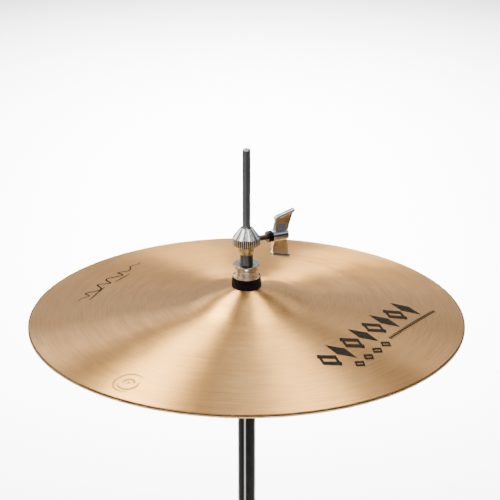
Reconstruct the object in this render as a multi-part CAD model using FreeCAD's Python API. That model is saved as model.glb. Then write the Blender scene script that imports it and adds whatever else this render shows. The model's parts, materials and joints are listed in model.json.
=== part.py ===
"""Hi-hat: a pair of 15 inch cymbals on a flat-footed stand with a foot pedal.

Units are millimetres.  +Z is up, -Y points to the player's heel, and the origin is on the floor, on the axis
of the pull rod.  The pose is the closed one: the pedal is down and the cymbals are 0.3 mm apart.
"""
import FreeCAD
import Part
import math
import os

V = FreeCAD.Vector
X_AXIS, Y_AXIS, Z_AXIS = V(1, 0, 0), V(0, 1, 0), V(0, 0, 1)
RUN = 0.05                      # radial clearance of a running or screwed fit

# --- cymbals -----------------------------------------------------------------------------------------------
RIM_Z = 850.0                   # upper surface of the top cymbal at its rim
CYMBAL_R = 190.5                # 15 inch cymbals
BELL_RISE = 30.8                # top of the bell above the rim
BOW_R = 1000.0                  # radius of the sphere that the bow is part of
DOME_R = 105.0                  # radius of the sphere that the bell is part of
BLEND_R = 40.0                  # radius of the hollow between bell and bow
TOP_THICK, BOTTOM_THICK = 1.1, 1.3
CYMBAL_GAP = 0.3                # between the rims when closed
HOLE_R = 6.2
BELL_TOP_Z = RIM_Z + BELL_RISE
SEAT_GAP = 0.15                 # between a felt and the cymbal that turns on it

# --- pull rod ----------------------------------------------------------------------------------------------
ROD_R, LOWER_ROD_R = 3.5, 3.0
ROD_TOP_Z = RIM_Z + 155.8
ROD_JOIN_Z = 561.0
ROD_LOW_Z = 100.0
ROD_END_ROUND = 1.5
GROOVE_R, GROOVE_LOW_Z, GROOVE_HIGH_Z = 3.1, RIM_Z + 83.5, RIM_Z + 84.5
COUPLER_R, COUPLER_HALF = 5.5, 15.0

# --- clutch, heights above the rim -------------------------------------------------------------------------
CLUTCH_R = 12.0
SLEEVE_R, SLEEVE_BORE_R = 5.6, 3.56
THREAD_PITCH, THREAD_DEPTH = 1.0, 0.4
SLEEVE_LOW_Z = RIM_Z + 15.3
BODY_LOW_Z = RIM_Z + 69.0
CONE_LOW_Z = RIM_Z + 76.1
BODY_TOP_Z = RIM_Z + 84.4
NECK_LOW_Z = RIM_Z + 60.3
NECK_TOP_R, NECK_LOW_R = 7.1, 6.0
CONE_TOP_R, RECESS_R, RECESS_DEPTH = 5.3, 4.3, 2.0
FELT_R, FELT_TOP_R, FELT_HIGH_Z = 12.8, 12.2, RIM_Z + 39.2
NUT_FLANGE_R, NUT_HUB_R, NUT_SPLIT_Z = 11.8, 10.1, RIM_Z + 45.9
UPPER_NUT_TOP_Z, UPPER_FLANGE = RIM_Z + 51.0, 1.5
LOWER_FLANGE = 3.0
LOWER_FELT_TOP_Z, LOWER_FELT_H = RIM_Z + 28.7, 6.0
BOTTOM_NUT_R, BOTTOM_NUT_H = 11.0, 6.2
SCREW_Z = RIM_Z + 72.6
SCREW_TURN = 25.0               # the clutch screw points this far back from +X, degrees
SCREW_LEAN = 11.0              # its wings lean this far, degrees

# --- cymbal seat and tubes ---------------------------------------------------------------------------------
UPPER_TUBE_R, UPPER_TUBE_BORE = 7.95, 6.75
UPPER_TUBE_LOW_Z, UPPER_TUBE_TOP_Z = 400.0, 805.0
LOWER_TUBE_R, LOWER_TUBE_BORE = 12.7, 11.2
LOWER_TUBE_LOW_Z, LOWER_TUBE_TOP_Z = 140.0, 496.0
SEAT_TOP_Z = 809.2
SEAT_R, SEAT_H, SEAT_NECK_R = 19.0, 16.0, 10.5
SEAT_FELT_R = 17.5
SEAT_SLEEVE_R, SEAT_SLEEVE_TOP_Z = 5.9, 829.0
CLAMP_LOW_Z, CLAMP_TOP_Z, CLAMP_R = 466.0, 504.0, 17.0
CLAMP_BOLT_X, CLAMP_BOLT_Z, CLAMP_BOLT_R = 26.0, 485.0, 3.0
LOCK_LOW_Z, LOCK_H, LOCK_R = 626.0, 16.0, 14.0

# --- yoke, base plate and pedal ----------------------------------------------------------------------------
MAT_H, PLATE_TOP_Z = 2.0, 5.0
YOKE_HALF_W, YOKE_HALF_D, YOKE_WALL = 62.0, 12.0, 12.0
CROSSBAR_LOW_Z, CROSSBAR_TOP_Z = 112.0, 136.0
BOSS_R, BOSS_TOP_Z, CLEVIS_WAY_R = 19.0, 172.0, 11.7
PEDAL_Y, PEDAL_Z = -232.0, 20.0  # heel hinge
PEDAL_TILT = 2.5                # slope of the pressed footboard, degrees
PEDAL_LENGTH, PEDAL_HALF_W, PEDAL_THICK = 250.0, 40.0, 4.0
KNUCKLE_R, HINGE_PIN_R = 7.0, 3.0
TOE_PIN_Z = 42.0
HEEL_END_Y = -312.0

# --- chain, spring and legs --------------------------------------------------------------------------------
CHAIN_PITCH, CHAIN_LINKS = 12.7, 4
CHAIN_PIN_R, CHAIN_ROLLER_R, LINK_R, LINK_THICK = 2.0, 3.9, 4.6, 1.3
CHAIN_PIN_PLAY = 0.6            # the toe bracket's hole is this much larger than its pin
CHAIN_TOP_Z = TOE_PIN_Z + CHAIN_PITCH * CHAIN_LINKS
SPRING_LOW_Z, SPRING_TOP_Z, SPRING_R, WIRE_R, SPRING_TURNS = 176.0, 236.0, 7.5, 1.25, 7
KNOB_LOW_Z, KNOB_H, KNOB_R = 174.0, 16.0, 19.0
LEG_HINGE_R, LEG_HINGE_Z, LEG_PIN_R = 36.0, 152.0, 3.0
FOOT_R = 298.0                  # distance of a foot from the axis
LEG_HEIGHT, STRIP_THICK, STRIP_OFFSET = 14.0, 2.5, 5.0
LUG_HALF = 4.5
LEG_ANGLES = {"front": 90.0, "right": -30.0, "left": -150.0}
SPUR_X, SPUR_Y, SPUR_R = 62.0, 31.0, 4.0


# --- small builders ----------------------------------------------------------------------------------------
def disc(radius, z_low, z_high, x=0.0, y=0.0):
    """An upright cylinder."""
    return Part.makeCylinder(radius, z_high - z_low, V(x, y, z_low), Z_AXIS)


def ring(outer, inner, z_low, z_high):
    """An upright tube on the rod's axis."""
    return disc(outer, z_low, z_high).cut(disc(inner, z_low - 1, z_high + 1))


def bar_x(radius, x_low, x_high, y, z):
    """A round bar along X."""
    return Part.makeCylinder(radius, x_high - x_low, V(x_low, y, z), X_AXIS)


def bar_y(radius, y_low, y_high, x, z):
    """A round bar along Y."""
    return Part.makeCylinder(radius, y_high - y_low, V(x, y_low, z), Y_AXIS)


def block(x_low, x_high, y_low, y_high, z_low, z_high):
    return Part.makeBox(x_high - x_low, y_high - y_low, z_high - z_low, V(x_low, y_low, z_low))


def turned(points):
    """A solid turned about the rod's axis from (radius, height) corners."""
    corners = [V(r, 0, z) for r, z in points]
    return Part.Face(Part.makePolygon(corners + corners[:1])).revolve(V(), Z_AXIS, 360)


def plate(corners, z_low, z_high, rounding):
    """A flat plate from (x, y) corners, its upright corners rounded."""
    points = [V(x, y, z_low) for x, y in corners]
    solid = Part.Face(Part.makePolygon(points + points[:1])).extrude(V(0, 0, z_high - z_low))
    return soften(solid, rounding, upright)


def soften(solid, radius, wanted):
    """Rounds the edges for which wanted(edge) is true."""
    return solid.makeFillet(radius, [e for e in solid.Edges if wanted(e)])


def upright(edge):
    return abs(edge.tangentAt(edge.FirstParameter).z) > 0.99


def along_y(edge):
    return abs(edge.tangentAt(edge.FirstParameter).y) > 0.99


def at_height(z):
    """Picks the edges that lie in the plane of height z."""
    return lambda e: abs(e.BoundBox.ZMin - z) < 0.01 and abs(e.BoundBox.ZMax - z) < 0.01


def fluted(solid, radius, z_low, z_high, count, flute_r):
    """Cuts grip flutes round a knob or nut."""
    for i in range(count):
        a = 2 * math.pi * i / count
        reach = radius + 0.6 * flute_r
        solid = solid.cut(disc(flute_r, z_low - 1, z_high + 1, reach * math.cos(a), reach * math.sin(a)))
    return solid


def save(name, *solids):
    shape = solids[0] if len(solids) == 1 else Part.makeCompound(list(solids))
    shape.exportStep(os.path.join("parts", name + ".step"))


# --- cymbals -----------------------------------------------------------------------------------------------
def arc_through(centre_z, radius, r_from, r_to):
    """An arc of a circle centred on the axis, between two distances from the axis."""
    def point(r):
        return V(r, 0, centre_z + math.sqrt(radius ** 2 - r ** 2))
    return Part.Arc(point(r_from), point((r_from + r_to) / 2), point(r_to)).toShape()


def cymbal_side(depth):
    """The three arcs of one face of a cymbal, depth below the outer face.  The rim is at height 0."""
    bow_z = -math.sqrt(BOW_R ** 2 - CYMBAL_R ** 2)
    dome_z = BELL_RISE - math.sqrt(DOME_R ** 2 - HOLE_R ** 2)
    to_dome, to_bow = DOME_R + BLEND_R, BOW_R + BLEND_R
    blend_z = (to_dome ** 2 - to_bow ** 2 + bow_z ** 2 - dome_z ** 2) / 2 / (bow_z - dome_z)
    blend_x = math.sqrt(to_dome ** 2 - (blend_z - dome_z) ** 2)
    centre = V(blend_x, 0, blend_z)

    def on_blend(toward_z):
        toward = (V(0, 0, toward_z) - centre).normalize()
        return centre + toward * (BLEND_R + depth)
    dome_end, bow_start = on_blend(dome_z), on_blend(bow_z)
    middle = centre + ((dome_end + bow_start) / 2 - centre).normalize() * (BLEND_R + depth)
    return [arc_through(dome_z, DOME_R - depth, HOLE_R, dome_end.x),
            Part.Arc(dome_end, middle, bow_start).toShape(),
            arc_through(bow_z, BOW_R - depth, bow_start.x, CYMBAL_R)]


def cymbal(thickness):
    """A cymbal with its rim at height 0 and its bell up."""
    outer, inner = cymbal_side(0.0), cymbal_side(thickness)
    hole = Part.makeLine(inner[0].Vertexes[0].Point, outer[0].Vertexes[0].Point)
    rim = Part.makeLine(outer[-1].Vertexes[-1].Point, inner[-1].Vertexes[-1].Point)
    outline = Part.Wire(Part.__sortEdges__(outer + [rim] + inner + [hole]))
    return Part.Face(outline).revolve(V(), Z_AXIS, 360)


def rim_lower_edge(thickness):
    """Height of the lower edge of a cymbal's rim below its upper edge."""
    slope = math.sqrt(BOW_R ** 2 - CYMBAL_R ** 2)
    return slope - math.sqrt((BOW_R - thickness) ** 2 - CYMBAL_R ** 2)


BOTTOM_RIM_Z = RIM_Z - rim_lower_edge(TOP_THICK) - CYMBAL_GAP - rim_lower_edge(BOTTOM_THICK)


def make_cymbals():
    top = cymbal(TOP_THICK)
    top.translate(V(0, 0, RIM_Z))
    save("top_cymbal", top)
    bottom = cymbal(BOTTOM_THICK).mirror(V(), Z_AXIS)
    bottom.translate(V(0, 0, BOTTOM_RIM_Z))
    save("bottom_cymbal", bottom)


def dome_ball(clearance):
    """The ball that the top cymbal's bell is part of, a little larger."""
    centre_z = BELL_TOP_Z - math.sqrt(DOME_R ** 2 - HOLE_R ** 2)
    return Part.makeSphere(DOME_R + clearance, V(0, 0, centre_z))


# --- clutch ------------------------------------------------------------------------------------------------
def threaded(radius, z_low, z_high):
    """A rod whose thread is drawn as rings."""
    points = [(0, z_low)]
    for i in range(int((z_high - z_low) / THREAD_PITCH)):
        z = z_low + i * THREAD_PITCH
        points += [(radius - THREAD_DEPTH, z), (radius, z + THREAD_PITCH / 2)]
    return turned(points + [(radius - THREAD_DEPTH, z_high), (0, z_high)])


def screw_frame(z):
    """Carries a screw built along +X, wings up, to the clutch."""
    lean = FreeCAD.Rotation(X_AXIS, SCREW_LEAN)
    turn = FreeCAD.Rotation(Z_AXIS, SCREW_TURN)
    return FreeCAD.Placement(V(0, 0, z), turn.multiply(lean))


def wing_head(boss_r, start, end, inner_reach, outer_reach, flare, thickness):
    """A two-winged screw head along +X: a boss from start to end and a flat wing on each side of it.

    The tip of each wing slants from inner_reach, near the boss's start, to outer_reach, past its end.
    """
    neck = start + 2.0
    head = Part.makeCylinder(boss_r, end - start, V(start, 0, 0), X_AXIS)
    groove = Part.makeCylinder(boss_r + 1, 0.9, V(neck, 0, 0), X_AXIS)
    head = head.cut(groove.cut(Part.makeCylinder(boss_r - 0.7, 0.9, V(neck, 0, 0), X_AXIS)))
    head = head.makeFillet(0.8, [e for e in head.Edges if e.BoundBox.XMin > end - 0.01])
    root = start + 4.6
    inner, outer = V(root + flare, 0, inner_reach), V(end + 3.2, 0, outer_reach)
    outline = [V(root, 0, 0), inner, outer, V(end - 1.0, 0, 0)]
    tip_r = 0.9 * thickness
    for side in (1, -1):
        blade = Part.Face(Part.makePolygon(outline + outline[:1])).extrude(V(0, thickness, 0))
        blade.translate(V(0, -thickness / 2, 0))
        blade = blade.fuse(Part.makeCylinder(tip_r, (outer - inner).Length, inner, outer - inner))
        for corner in (inner, outer):
            blade = blade.fuse(Part.makeSphere(tip_r, corner))
        web_top = 0.62 * inner_reach
        web = [V(0, y, z) for y, z in ((-boss_r * 0.8, 0), (boss_r * 0.8, 0), (thickness / 2, web_top),
                                       (-thickness / 2, web_top))]
        web = Part.Face(Part.makePolygon(web + web[:1])).extrude(V(end - root - 4.4, 0, 0))
        web.translate(V(root + 1.8, 0, 0))
        blade = blade.fuse(web)
        head = head.fuse(blade if side > 0 else blade.mirror(V(), Z_AXIS))
    return head.removeSplitter()


def make_clutch():
    body = turned([(0, NECK_LOW_Z), (NECK_LOW_R, NECK_LOW_Z), (NECK_TOP_R, NECK_LOW_Z + 3.2),
                   (NECK_TOP_R, BODY_LOW_Z), (CLUTCH_R - 0.8, BODY_LOW_Z), (CLUTCH_R, BODY_LOW_Z + 0.8),
                   (CLUTCH_R, CONE_LOW_Z - 0.3), (CLUTCH_R - 0.3, CONE_LOW_Z), (CONE_TOP_R, BODY_TOP_Z),
                   (0, BODY_TOP_Z)])
    body = fluted(body, CLUTCH_R, BODY_LOW_Z, CONE_LOW_Z, count=40, flute_r=0.8)
    body = body.cut(disc(SLEEVE_BORE_R, NECK_LOW_Z - 1, BODY_TOP_Z + 1))
    body = body.cut(disc(RECESS_R, BODY_TOP_Z - RECESS_DEPTH, BODY_TOP_Z + 1))
    body = body.cut(disc(SLEEVE_R, NECK_LOW_Z - 1, BODY_LOW_Z))
    screw_hole = Part.makeCylinder(2.5, 20, V(), X_AXIS)
    screw_hole.Placement = screw_frame(SCREW_Z)
    save("clutch_body", body.cut(screw_hole))

    sleeve = threaded(SLEEVE_R, SLEEVE_LOW_Z, BODY_LOW_Z)
    save("clutch_sleeve", sleeve.cut(disc(SLEEVE_BORE_R, SLEEVE_LOW_Z - 1, BODY_LOW_Z + 1)))

    shank = Part.makeCylinder(2.45, 18, V(ROD_R + RUN, 0, 0), X_AXIS)
    wing = wing_head(boss_r=5.0, start=19.4, end=38.8, inner_reach=18.2, outer_reach=23.1, flare=2.4,
                     thickness=2.4)
    wing = wing.cut(Part.makeCylinder(2.45, 5.0, V(16.6, 0, 0), X_AXIS))
    for name, piece in (("clutch_screw_shank", shank), ("clutch_screw_wing", wing)):
        piece.Placement = screw_frame(SCREW_Z)
        save(name, piece)


def make_lock_nuts():
    bore = SLEEVE_R + RUN
    hub_low = FELT_HIGH_Z + LOWER_FLANGE
    lower = turned([(bore, FELT_HIGH_Z), (NUT_FLANGE_R, FELT_HIGH_Z), (NUT_FLANGE_R, hub_low - 1.1),
                    (NUT_FLANGE_R - 1.1, hub_low), (NUT_HUB_R, hub_low), (NUT_HUB_R, NUT_SPLIT_Z - 0.7),
                    (NUT_HUB_R - 0.7, NUT_SPLIT_Z), (bore, NUT_SPLIT_Z)])
    save("lower_lock_nut", lower)
    low = NUT_SPLIT_Z + RUN
    flange_low = UPPER_NUT_TOP_Z - UPPER_FLANGE
    upper = turned([(bore, low), (NUT_HUB_R - 0.7, low), (NUT_HUB_R, low + 0.7), (NUT_HUB_R, flange_low - 1.2),
                    (NUT_HUB_R - 0.5, flange_low), (NUT_FLANGE_R - 0.4, flange_low),
                    (NUT_FLANGE_R, flange_low + 0.4), (NUT_FLANGE_R, UPPER_NUT_TOP_Z - 0.4),
                    (NUT_FLANGE_R - 0.4, UPPER_NUT_TOP_Z), (bore + 0.8, UPPER_NUT_TOP_Z),
                    (bore, UPPER_NUT_TOP_Z - 0.8)])
    save("upper_lock_nut", upper)
    nut_top = LOWER_FELT_TOP_Z - LOWER_FELT_H - RUN
    nut_low = nut_top - BOTTOM_NUT_H
    nut = turned([(bore, nut_low), (BOTTOM_NUT_R - 1, nut_low), (BOTTOM_NUT_R, nut_low + 1),
                  (BOTTOM_NUT_R, nut_top - 1), (BOTTOM_NUT_R - 1, nut_top), (bore, nut_top)])
    save("bottom_nut", fluted(nut, BOTTOM_NUT_R, nut_low, nut_top, count=20, flute_r=1.0))


def make_clutch_felts():
    low = BELL_TOP_Z - 2.0
    felt = turned([(SLEEVE_R + RUN, low), (FELT_R, low), (FELT_R, BELL_TOP_Z + 3),
                   (FELT_TOP_R, FELT_HIGH_Z - RUN), (SLEEVE_R + RUN, FELT_HIGH_Z - RUN)])
    save("upper_felt", felt.cut(dome_ball(SEAT_GAP)))
    save("lower_felt", ring(FELT_R, SLEEVE_R + RUN, LOWER_FELT_TOP_Z - LOWER_FELT_H, LOWER_FELT_TOP_Z))


# --- pull rod ----------------------------------------------------------------------------------------------
def make_pull_rod():
    upper = turned([(0, ROD_JOIN_Z), (ROD_R, ROD_JOIN_Z), (ROD_R, GROOVE_LOW_Z), (GROOVE_R, GROOVE_LOW_Z),
                    (GROOVE_R, GROOVE_HIGH_Z), (ROD_R, GROOVE_HIGH_Z), (ROD_R, ROD_TOP_Z), (0, ROD_TOP_Z)])
    save("upper_pull_rod", soften(upper, ROD_END_ROUND, at_height(ROD_TOP_Z)))
    save("lower_pull_rod", disc(LOWER_ROD_R, ROD_LOW_Z, ROD_JOIN_Z))
    coupler = ring(COUPLER_R, LOWER_ROD_R, ROD_JOIN_Z - COUPLER_HALF, ROD_JOIN_Z)
    coupler = coupler.fuse(ring(COUPLER_R, ROD_R, ROD_JOIN_Z, ROD_JOIN_Z + COUPLER_HALF))
    save("rod_coupler", coupler.removeSplitter())
    save("spring_collar", ring(9.5, LOWER_ROD_R, SPRING_TOP_Z, SPRING_TOP_Z + 6))
    ear_low, bridge_low = CHAIN_TOP_Z - 6.5, CHAIN_TOP_Z + 6.0
    clevis = block(-9.2, 9.2, -6, 6, ear_low, bridge_low + 9)
    clevis = clevis.cut(block(-6.5, 6.5, -7, 7, ear_low - 1, bridge_low))
    clevis = soften(clevis, 2.5, at_height(bridge_low + 9))
    clevis = clevis.cut(disc(LOWER_ROD_R, ROD_LOW_Z, bridge_low + 10))
    save("rod_clevis", clevis.cut(bar_x(CHAIN_PIN_R + RUN, -10, 10, 0, CHAIN_TOP_Z)))


def link_side(x, z_low):
    """One stadium-shaped side plate of a chain link, with its two pin holes."""
    z_high = z_low + CHAIN_PITCH
    side = block(x, x + LINK_THICK, -LINK_R + 0.9, LINK_R - 0.9, z_low, z_high)
    for z in (z_low, z_high):
        side = side.fuse(bar_x(LINK_R, x, x + LINK_THICK, 0, z))
    for z in (z_low, z_high):
        side = side.cut(bar_x(CHAIN_PIN_R + RUN, x - 1, x + LINK_THICK + 1, 0, z))
    return side.removeSplitter()


def make_chain():
    sides, rollers, pins = [], [], []
    for i in range(CHAIN_LINKS):
        inside = 3.4 if i % 2 == 0 else 4.9
        z = TOE_PIN_Z + i * CHAIN_PITCH
        sides += [link_side(inside, z), link_side(-inside - LINK_THICK, z)]
    for i in range(CHAIN_LINKS + 1):
        z = TOE_PIN_Z + i * CHAIN_PITCH
        half = 10.4 if i in (0, CHAIN_LINKS) else 6.8
        pins.append(bar_x(CHAIN_PIN_R, -half, half, 0, z))
        rollers.append(bar_x(CHAIN_ROLLER_R, -3.3, 3.3, 0, z).cut(bar_x(CHAIN_PIN_R + RUN, -4, 4, 0, z)))
    save("chain_link_plates", *sides)
    save("chain_rollers", *rollers)
    save("chain_pins", *pins)


def make_spring():
    save("spring_seat", ring(LOWER_TUBE_BORE - RUN, LOWER_ROD_R + 0.4, SPRING_LOW_Z - 6, SPRING_LOW_Z))
    low, high = SPRING_LOW_Z + WIRE_R + 0.1, SPRING_TOP_Z - WIRE_R - 0.1
    pitch = (high - low) / SPRING_TURNS
    path = Part.makeHelix(pitch, high - low, SPRING_R)
    path.translate(V(0, 0, low))
    start = Part.Wire(Part.makeCircle(WIRE_R, V(SPRING_R, 0, low), V(0, 2 * math.pi * SPRING_R, pitch)))
    save("return_spring", Part.Wire(path.Edges).makePipeShell([start], True, True))


# --- cymbal seat, tubes and height clamp -------------------------------------------------------------------
def make_seat():
    low = SEAT_TOP_Z - SEAT_H
    cup = turned([(0, low), (SEAT_NECK_R - 1, low), (SEAT_NECK_R, low + 1), (SEAT_NECK_R, low + 8),
                  (SEAT_R, SEAT_TOP_Z - 3), (SEAT_R, SEAT_TOP_Z), (0, SEAT_TOP_Z)])
    cup = cup.cut(disc(UPPER_TUBE_R, low - 1, UPPER_TUBE_TOP_Z))
    cup = cup.cut(disc(SEAT_SLEEVE_R, UPPER_TUBE_TOP_Z - 1, SEAT_TOP_Z + 1))
    save("seat_cup", cup.cut(bar_y(2.5, -20, 0, 0, low + 4.5)))
    screw = bar_y(2.5, -SEAT_NECK_R - 4.5, -UPPER_TUBE_R, 0, low + 4.5)
    save("seat_screw", screw.fuse(block(-1.6, 1.6, -SEAT_NECK_R - 9, -SEAT_NECK_R - 4.5, low + 2.9, low + 6.1)))
    sleeve = ring(SEAT_SLEEVE_R, ROD_R + 0.2, UPPER_TUBE_TOP_Z, SEAT_SLEEVE_TOP_Z)
    save("seat_sleeve", soften(sleeve, 0.8, at_height(SEAT_SLEEVE_TOP_Z)))
    bell_low = BOTTOM_RIM_Z - BELL_RISE
    felt = ring(SEAT_FELT_R, SEAT_SLEEVE_R + RUN, SEAT_TOP_Z, bell_low + 2.0)
    ball_z = bell_low + math.sqrt(DOME_R ** 2 - HOLE_R ** 2)
    save("seat_felt", felt.cut(Part.makeSphere(DOME_R + SEAT_GAP, V(0, 0, ball_z))))


def make_tubes():
    save("upper_tube", ring(UPPER_TUBE_R, UPPER_TUBE_BORE, UPPER_TUBE_LOW_Z, UPPER_TUBE_TOP_Z))
    save("rod_guide", ring(UPPER_TUBE_BORE, ROD_R + RUN, UPPER_TUBE_TOP_Z - 14, UPPER_TUBE_TOP_Z))
    save("lower_tube", ring(LOWER_TUBE_R, LOWER_TUBE_BORE, LOWER_TUBE_LOW_Z, LOWER_TUBE_TOP_Z))


def make_height_clamp():
    collar = turned([(LOWER_TUBE_R, CLAMP_LOW_Z), (CLAMP_R - 1.2, CLAMP_LOW_Z), (CLAMP_R, CLAMP_LOW_Z + 1.2),
                     (CLAMP_R, CLAMP_TOP_Z - 4), (CLAMP_R - 4, CLAMP_TOP_Z), (9.5, CLAMP_TOP_Z),
                     (9.5, LOWER_TUBE_TOP_Z + 4), (LOWER_TUBE_R, LOWER_TUBE_TOP_Z + 4)])
    ear = block(LOWER_TUBE_R + 1, 34, -8.5, 8.5, CLAMP_LOW_Z + 5, CLAMP_TOP_Z - 5)
    ear = soften(ear, 8.0, lambda e: along_y(e) and e.BoundBox.XMin > 33)
    collar = collar.fuse(ear).cut(disc(LOWER_TUBE_R, CLAMP_LOW_Z - 1, LOWER_TUBE_TOP_Z + 4)).removeSplitter()
    collar = collar.cut(block(0, 40, -1.5, 1.5, CLAMP_LOW_Z - 1, CLAMP_TOP_Z + 1))
    save("height_clamp", collar.cut(bar_y(CLAMP_BOLT_R + RUN, -20, 20, CLAMP_BOLT_X, CLAMP_BOLT_Z)))
    bushing = ring(LOWER_TUBE_BORE - RUN, UPPER_TUBE_R + RUN, CLAMP_LOW_Z + 4, LOWER_TUBE_TOP_Z)
    bushing = bushing.fuse(ring(LOWER_TUBE_R, UPPER_TUBE_R + RUN, LOWER_TUBE_TOP_Z, LOWER_TUBE_TOP_Z + 4))
    save("clamp_bushing", bushing.removeSplitter())

    nut_corners = [(CLAMP_BOLT_X + 5.8 * math.cos(math.radians(60 * i)), 5.8 * math.sin(math.radians(60 * i)))
                   for i in range(6)]
    nut_face = [V(x, 8.5, CLAMP_BOLT_Z + dz) for x, dz in nut_corners]
    nut = Part.Face(Part.makePolygon(nut_face + nut_face[:1])).extrude(V(0, 5, 0))
    save("clamp_nut", nut.cut(bar_y(CLAMP_BOLT_R + RUN, 5, 20, CLAMP_BOLT_X, CLAMP_BOLT_Z)))

    shank = Part.makeCylinder(CLAMP_BOLT_R, 26, V(-15, 0, 0), X_AXIS)
    wing = wing_head(boss_r=6.5, start=8.6, end=32.0, inner_reach=20.0, outer_reach=25.0, flare=6.6,
                     thickness=2.8)
    wing = wing.cut(Part.makeCylinder(CLAMP_BOLT_R, 4.0, V(7.0, 0, 0), X_AXIS))
    for name, piece in (("height_bolt_shank", shank), ("height_bolt_wing", wing)):
        spin = FreeCAD.Rotation(Z_AXIS, -90).multiply(FreeCAD.Rotation(X_AXIS, 20))
        piece.Placement = FreeCAD.Placement(V(CLAMP_BOLT_X, 0, CLAMP_BOLT_Z), spin)
        save(name, piece)


def make_memory_lock():
    low, high = LOCK_LOW_Z, LOCK_LOW_Z + LOCK_H
    middle = (low + high) / 2
    lock = soften(disc(LOCK_R, low, high), 1.5, lambda e: at_height(low)(e) or at_height(high)(e))
    lock = lock.fuse(block(8, 24, -7, 7, low + 1.5, high - 1.5)).cut(disc(UPPER_TUBE_R, low - 1, high + 1))
    lock = lock.removeSplitter().cut(block(0, 30, -1, 1, low - 1, high + 1))
    save("memory_lock", lock.cut(bar_y(2.5, -10, 10, 18.5, middle)))
    screw = bar_y(2.5, -12, 7, 18.5, middle)
    save("memory_lock_screw", screw.fuse(block(16.9, 20.1, -17, -12, middle - 1.6, middle + 1.6)))


# --- yoke, base plate and pedal ----------------------------------------------------------------------------
def make_yoke():
    wide = YOKE_HALF_W
    yoke = block(-wide, wide, -YOKE_HALF_D, YOKE_HALF_D, PLATE_TOP_Z, CROSSBAR_TOP_Z)
    inner = wide - YOKE_WALL
    window = block(-inner, inner, -20, 20, PLATE_TOP_Z - 1, CROSSBAR_LOW_Z)
    yoke = yoke.cut(soften(window, 16, lambda e: along_y(e) and e.BoundBox.ZMin > CROSSBAR_LOW_Z - 1))
    yoke = soften(yoke, 18, lambda e: along_y(e) and e.BoundBox.ZMin > CROSSBAR_TOP_Z - 1)
    yoke = yoke.fuse(disc(BOSS_R, CROSSBAR_LOW_Z, BOSS_TOP_Z))
    for x in (-wide, wide):
        yoke = yoke.fuse(plate([(x - 12, -24), (x + 12, -24), (x + 12, 42), (x - 12, 42)],
                               PLATE_TOP_Z, PLATE_TOP_Z + 7, 6))
    for angle in LEG_ANGLES.values():
        lug = block(BOSS_R - 3, LEG_HINGE_R + 8, -LUG_HALF, LUG_HALF, LEG_HINGE_Z - 10, LEG_HINGE_Z + 8)
        lug = soften(lug, 7.5, lambda e: along_y(e) and e.BoundBox.XMin > LEG_HINGE_R)
        lug = lug.cut(bar_y(LEG_PIN_R, -10, 10, LEG_HINGE_R, LEG_HINGE_Z))
        lug.rotate(V(), Z_AXIS, angle)
        yoke = yoke.fuse(lug)
    yoke = yoke.removeSplitter()
    yoke = yoke.cut(disc(LOWER_TUBE_R, LOWER_TUBE_LOW_Z, BOSS_TOP_Z + 1))
    yoke = yoke.cut(disc(CLEVIS_WAY_R, CROSSBAR_LOW_Z - 1, LOWER_TUBE_LOW_Z + 1))
    yoke = yoke.cut(bar_y(3.0, LOWER_TUBE_R - 1, 30, 0, CROSSBAR_TOP_Z + 2))
    for x in (-wide, wide):
        for y in (-18, 18):
            yoke = yoke.cut(disc(2.5, 0, PLATE_TOP_Z + 8, x, y))
    for x in (-SPUR_X, SPUR_X):
        yoke = yoke.cut(disc(SPUR_R + RUN, 0, 30, x, SPUR_Y))
    save("yoke", yoke)


def make_tube_screw():
    z = CROSSBAR_TOP_Z + 2
    screw = bar_y(3.0, LOWER_TUBE_R, BOSS_R + 2.5, 0, z)
    save("tube_screw", screw.fuse(block(-1.6, 1.6, BOSS_R + 2.5, BOSS_R + 7, z - 1.6, z + 1.6)))


def make_base_plate():
    wide, narrow = YOKE_HALF_W + 12, PEDAL_HALF_W + 2
    outline = [(-narrow, HEEL_END_Y), (narrow, HEEL_END_Y), (narrow, -75), (wide, -30), (wide, 44),
               (-wide, 44), (-wide, -30), (-narrow, -75)]
    holes = [(x, y) for x in (-YOKE_HALF_W, YOKE_HALF_W) for y in (-18, 18)] + [(-28, -292), (28, -292)]
    steel = plate(outline, MAT_H, PLATE_TOP_Z, 9)
    for x, y in holes:
        steel = steel.cut(disc(2.5, 0, 10, x, y))
    mat = plate(outline, 0, MAT_H, 9)
    for x in (-SPUR_X, SPUR_X):
        steel = steel.cut(disc(SPUR_R + RUN, 0, 10, x, SPUR_Y))
        mat = mat.cut(disc(SPUR_R + 2, -1, 10, x, SPUR_Y))
    save("base_plate", steel)
    save("floor_mat", mat)
    tops = [PLATE_TOP_Z + 7] * 4 + [PLATE_TOP_Z + 9] * 2
    screws = []
    for (x, y), z in zip(holes, tops):
        screw = disc(2.5, MAT_H, z, x, y).fuse(disc(4.4, z, z + 2.6, x, y)).removeSplitter()
        screws.append(screw.cut(block(x - 4.5, x + 4.5, y - 0.5, y + 0.5, z + 1.5, z + 3)))
    save("plate_screws", *screws)


def make_spurs():
    for name, x in (("spur_left", -SPUR_X), ("spur_right", SPUR_X)):
        low, head = 0.4, 24.0
        spur = Part.makeCone(0.6, SPUR_R, 5, V(x, SPUR_Y, low), Z_AXIS)
        spur = spur.fuse(disc(SPUR_R, low + 5, head, x, SPUR_Y))
        knob = disc(9.0, 0, 9)
        knob = fluted(soften(knob, 1.5, at_height(9)), 9.0, 0, 9, count=12, flute_r=1.6)
        knob.translate(V(x, SPUR_Y, head))
        save(name, spur.fuse(knob).removeSplitter())


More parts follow.
